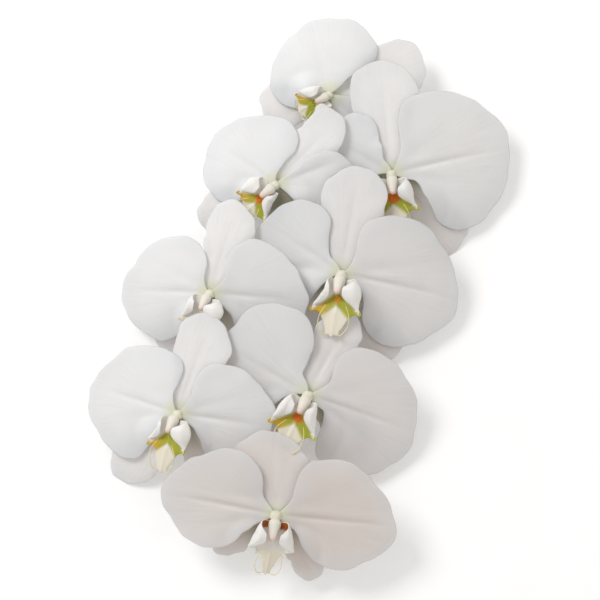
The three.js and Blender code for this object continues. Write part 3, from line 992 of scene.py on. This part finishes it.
# %% Set columns and lips into the blooms
# For each lip: how wide its left and right lobes are seen, how far they lean to the left, how wide and
# how long its blade is, how strongly its lobes' hollows are flushed, how yellow its arms are, and how
# red its throat is.
LIP_SETS = {
    "bloom_1": (0.9, 1.0, 0.1, 0.8, 0.3, 0.0, 1.0, 0.1),
    "bloom_2": (0.6, 1.0, 0.1, 1.0, 1.0, 0.3, 1.0, 2.2),
    "bloom_3": (1.2, 0.55, 0.1, 0.9, 0.4, 0.0, 1.0, 1.3),
    "bloom_4": (0.4, 1.15, 0.1, 0.95, 1.0, 0.3, 1.0, 0.75),
    "bloom_5": (0.8, 1.4, 0.15, 1.0, 0.8, 0.0, 0.4, 0.0),
    "bloom_6": (0.95, 0.7, 0.05, 0.95, 0.9, 0.0, 1.0, 1.5),
    "bloom_7": (0.4, 1.25, 0.12, 0.85, 1.1, 0.0, 1.1, 0.2),
    "bloom_8": (0.72, 0.8, 0.0, 0.55, 1.0, 1.1, 0.15, 0.0),
}
TIP_LIFTS = {"bloom_6": 3.0}  # in mm: the left arm of this lip lies over its neighbour's petal
LOBE_RAISE = 2.0  # how far the lobes' tops are shifted towards the crown, in mm
LOBE_SPREAD_FROM = 3.2  # the line beside the column that the lobes are widened from, in mm


def placed(points, axes):
    return points @ axes[:3, :3].T + axes[:3, 3]


def set_into(pattern, name, bloom, bend=None):
    """A copy of a pattern in a bloom, bent first if a bend is given (lips only)."""
    mesh = pattern.data.copy()
    mesh.name = name
    points = points_of(mesh)
    if bend:
        points = bend(points, lip_raised)
    mesh.vertices.foreach_set("co", (placed(points, axes_of[bloom]) * MM).ravel())
    mesh.update()
    return put(name, mesh)


def lip_bend(bloom, seed):
    """Changes from lip to lip: how its lobes stand and how its blade narrows, shortens and bends."""
    chance = np.random.default_rng(seed)
    tip, sway = chance.uniform(-0.02, 0.02), chance.uniform(-0.03, 0.03)
    left, right, slope, blade_width, blade_length = LIP_SETS[bloom][:5]

    def bend(points, raised):
        bent = points.copy()
        x, down, z = points[:, 0], -points[:, 1], points[:, 2]
        side = np.tanh(x / 2)
        foot = rising(down, 9, 7)
        width = np.where(side < 0, left, right)
        width = (width + (1 - width) * foot) * raised + 1 - raised
        root = LOBE_SPREAD_FROM * side
        bent[:, 0] = np.where(raised > 0, root + (x - root) * width, x)
        bent[:, 0] *= 1 - (1 - blade_width) * (1 - raised) * rising(down, 10, 3)
        out, beyond = np.clip(down - 14, 0, None), np.clip(down - 18, 0, None)
        bent[:, 0] += sway * out * out * 0.2 - slope * np.clip(z - 3, 0, None) * raised
        bent[:, 1] += (1 - blade_length) * beyond + LOBE_RAISE * raised * (1 - 0.5 * foot)
        bent[:, 2] += tip * out * out - (1 - blade_length) * 0.5 * beyond
        bent[:, 2] += TIP_LIFTS.get(bloom, 0) * rising(-x, 6, 5)
        return bent

    return bend


for number, bloom in enumerate(blooms):
    column = set_into(column_pattern, "column_of_" + bloom, bloom)
    finish_piece(column, waxy_cream_column, bloom + "_column")
    lip = set_into(lip_pattern, "lip_of_" + bloom, bloom, lip_bend(bloom, 500 + number))
    for key, strength in zip(("flush", "yellow", "red"), LIP_SETS[bloom][5:]):
        store(lip, key, strength)
    finish_piece(lip, waxy_lip, bloom + "_lip")
for pattern in (column_pattern, lip_pattern):
    bpy.data.objects.remove(pattern)
print("columns and lips set:", 2 * len(blooms))

# %% [markdown]
# ## The tendrils
#
# Each tongue ends in two tendrils, thin as thread, that curl outwards and back. They are tubes swept
# along a smooth curve of a few points.

# %% Tendrils
TENDRIL = [(2.8, -27.8, 8.6), (5.0, -27.2, 9.4), (6.9, -23.0, 9.8), (6.9, -18.4, 9.6), (4.6, -13.6, 8.8)]
TENDRIL_RADIUS = 0.28
TENDRIL_SIDES = 10


def swept_tube(path, radii):
    """Points and faces of a closed tube along a path."""
    tangent = np.gradient(path, axis=0)
    tangent /= norm(tangent, axis=1, keepdims=True)
    normal = np.cross(tangent[0], [0.3, 0.5, 0.8])
    points = []
    angles = np.linspace(0, 2 * math.pi, TENDRIL_SIDES, endpoint=False)
    for centre, forward, radius in zip(path, tangent, radii):
        normal = normal - forward * (normal @ forward)
        normal /= norm(normal)
        across = np.cross(forward, normal)
        ring = np.outer(np.cos(angles), normal) + np.outer(np.sin(angles), across)
        points.append(centre + radius * ring)
    return np.vstack(points), tube_faces(len(path), TENDRIL_SIDES)


def grained_flesh(name, glow, roughness, scale, detail, stops):
    """Waxy or dry tissue whose colour wanders between two shades."""
    material, tree = waxy_flesh(name, glow, roughness)
    dress(tree, base_color=ramp(tree, grain_of(tree, scale, detail), stops))
    return material


# A tendril is clear yellow flesh, a little deeper in some stretches.
waxy_tendril = grained_flesh("waxy_tendril", 0.3, 0.4, 260, 2.0, [(0.35, "#DECF9A"), (0.65, "#EAE0BC")])
for number, bloom in enumerate(blooms):
    chance = np.random.default_rng(700 + number)
    for side, word in ((-1, "left"), (1, "right")):
        wander = chance.uniform(-0.5, 0.5, (len(TENDRIL), 3))
        route = np.array(TENDRIL) + wander * np.linspace(0, 1, len(TENDRIL))[:, None]
        route[:, 0] *= side
        run = ease(route, 10)
        run[:, 0] /= LIP_SETS[bloom][3] ** 0.7
        run = lip_bend(bloom, 500 + number)(run, np.zeros(len(run)))
        path = placed(run, axes_of[bloom])
        radii = TENDRIL_RADIUS * np.linspace(1.2, 0.5, len(path))
        tendril = new_piece(f"tendril_{word}_of_{bloom}", *swept_tube(path, radii))
        finish_piece(tendril, waxy_tendril)
print("tendrils:", 2 * len(blooms))

# %% [markdown]
# ## The stem
#
# The stem lies under the blooms, firm and green. The frame's stem already has the right route, but flat
# sides. A voxel remesh and a little smoothing make it round and melt each pedicel into it. Its skin is
# deep green where it lies on the table and pales up the pedicels, with fine streaks along it.

# %% Round the stem
STEM_VOXEL = 0.45
PALE_FROM, PALE_TO = 6, 22  # mm above the table, where the green pales


def make_stem():
    stem = put("stem_and_pedicels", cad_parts["stem"].data.copy())
    stem.matrix_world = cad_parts["stem"].matrix_world.copy()
    run_modifier(stem, "REMESH", mode="VOXEL", voxel_size=STEM_VOXEL * MM)
    run_modifier(stem, "SMOOTH", factor=0.5, iterations=6)
    return stem


def stem_skin():
    material, tree = waxy_flesh("green_stem", 0.08, 0.42)
    streaks = grain_of(tree, 320, 5.0, 0.6)
    place = add_node(tree, "TexCoord").outputs["Object"]
    height = add_node(tree, "SeparateXYZ", None, {"Vector": place}).outputs["Z"]
    rise = mapped(tree, height, (PALE_FROM * MM, PALE_TO * MM))
    shade = ramp(tree, streaks, [(0.3, "#B9B59A"), (0.6, "#FFFFFF")])
    colour = mixed(tree, 0.5, mixed(tree, rise, "#6F8740", "#C5CC98"), shade, "MULTIPLY")
    dress(tree, base_color=colour, normal=bumped(tree, streaks, 0.3, 0.1).outputs[0])
    return material


stem = finish_piece(make_stem(), stem_skin(), "stem")
print("points in the stem:", len(stem.data.vertices))

# %% [markdown]
# Along the stem there are joints, each with a small dry bract, a pointed scale that hugs the stem. The
# stem's middle line is found again from the stem itself: it is sliced across every few millimetres of
# its length where it lies on the table, and the middle of each slice is a point of the line.

# %% Bracts
STEM_NODES = (0.06, 0.17, 0.29, 0.42, 0.54, 0.68, 0.8)  # shares of the stem's length
SLICE_MM = 6.0
STEM_HEIGHT_MM = 6.6  # the rachis stays below this height
STEM_MIDDLE_MM = 2.6  # the height of its middle line
BRACT_RADIUS, BRACT_FLARE, BRACT_THICKNESS = 3.35, 1.1, 0.35
BRACT_REACH = 1.35  # radians round the stem, to each side
BRACT_ROWS, BRACT_COLUMNS = 14, 13


def middle_line():
    """The rachis's middle line from the cut end to the tip, in mm, one point for each slice."""
    points = points_of(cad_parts["stem"].data)
    line = []
    for y in np.arange(points[:, 1].max(), points[:, 1].min(), -SLICE_MM):
        near = points[(np.abs(points[:, 1] - y) < SLICE_MM) & (points[:, 2] < STEM_HEIGHT_MM)]
        if len(near) > 5:
            line.append((np.median(near[:, 0]), y, STEM_MIDDLE_MM))
    return np.array(line)


def bract(start, forward, length):
    """A small pointed scale, cupped round the stem, as a closed sheet."""
    aside = np.array([*turned(forward), 0])
    shells = []
    for gap in (BRACT_THICKNESS, 0):
        for across in np.linspace(-1, 1, BRACT_COLUMNS):
            for row in np.linspace(0, 1, BRACT_ROWS):
                angle = across * (BRACT_REACH * (1 - row) ** 0.6 + 0.02)
                radius = BRACT_RADIUS + gap + BRACT_FLARE * row**2
                out = radius * (math.sin(angle) * aside + math.cos(angle) * np.array([0, 0, 1]))
                shells.append(start + forward * length * row + out)
    return np.array(shells), shell_faces(BRACT_COLUMNS, BRACT_ROWS)


# A bract has dried to a matt olive and straw, so little light passes through it.
dry_bract = grained_flesh("dry_bract", 0.1, 0.7, 500, 4.0, [(0.3, "#8C8350"), (0.7, "#B7B078")])
line = middle_line()
for number, share in enumerate(STEM_NODES):
    here = min(int(share * (len(line) - 1)), len(line) - 2)
    forward = line[here + 1] - line[here]
    forward = forward / norm(forward)
    length = np.random.default_rng(900 + number).uniform(6.5, 8.5)
    piece = new_piece(f"bract_{number + 1}", *bract(line[here], forward, length))
    finish_piece(piece, dry_bract)
print("bracts:", len(STEM_NODES), "middle line points:", len(line))

# %% [markdown]
# ## Table, light and camera
#
# A white table, a large soft window light from the upper left and a pale sky all round. The table glows
# faintly, so the shadows on it stay pale. The camera looks straight down from a metre and a half, with a
# long lens, so the blooms keep their shapes.

# %% Table
TABLE_HALF = 3  # metres


def table_top():
    material, tree = new_material("white_table", {
        "Emission Color": linear("#FFFFFF"), "Emission Strength": 0.16,
        "Roughness": 0.9, "Specular IOR Level": 0.1,
    })
    dress(tree, base_color=ramp(tree, grain_of(tree, 40), [(0.3, "#FAFAFA"), (0.7, "#FDFDFD")]))
    return material


top = bpy.data.meshes.new("table")
corners = [(x * TABLE_HALF, y * TABLE_HALF, 0) for x, y in ((-1, -1), (1, -1), (1, 1), (-1, 1))]
top.from_pydata(corners, [], [(0, 1, 2, 3)])
table = put("table", top)
table.data.materials.append(table_top())
print("table:", 2 * TABLE_HALF, "m across")

# %% Light
def soft_light(name, place, size, power, colour):
    """A round lamp that faces the spray, in metres and watts."""
    light = bpy.data.lights.new(name, "AREA")
    light.shape = "DISK"
    light.size = size
    light.energy = power
    light.color = linear(colour)[:3]
    lamp = put(name, light)
    lamp.location = place
    lamp.rotation_euler = (-Vector(place)).to_track_quat("-Z", "Y").to_euler()


soft_light("window", (-1.1, 1.2, 1.5), 0.9, 22, "#FDFDFF")
soft_light("bounce", (1.4, -0.8, 1.2), 1.6, 2, "#FFF4EA")
world = bpy.data.worlds.new("pale_sky")
world.use_nodes = True
sky = world.node_tree.nodes["Background"]
sky.inputs["Color"].default_value = linear("#F9F8F6")
sky.inputs["Strength"].default_value = 0.64
bpy.context.scene.world = world
bpy.context.scene.view_settings.view_transform = "Standard"
print("lamps:", len(bpy.data.lights))

# %% Camera
CAMERA_HEIGHT = 1.5  # metres above the middle of the blooms
BLOOM_MIDDLE = 0.015
low, high = (Vector(corner) for corner in cad_box)
camera_data = bpy.data.cameras.new("camera")
camera_data.lens = 180
camera_data.sensor_width = 36
camera = put("camera", camera_data)
camera.location = ((low.x + high.x) / 2, (low.y + high.y) / 2, BLOOM_MIDDLE + CAMERA_HEIGHT)
bpy.context.scene.camera = camera
print("camera at", [round(c, 3) for c in camera.location])
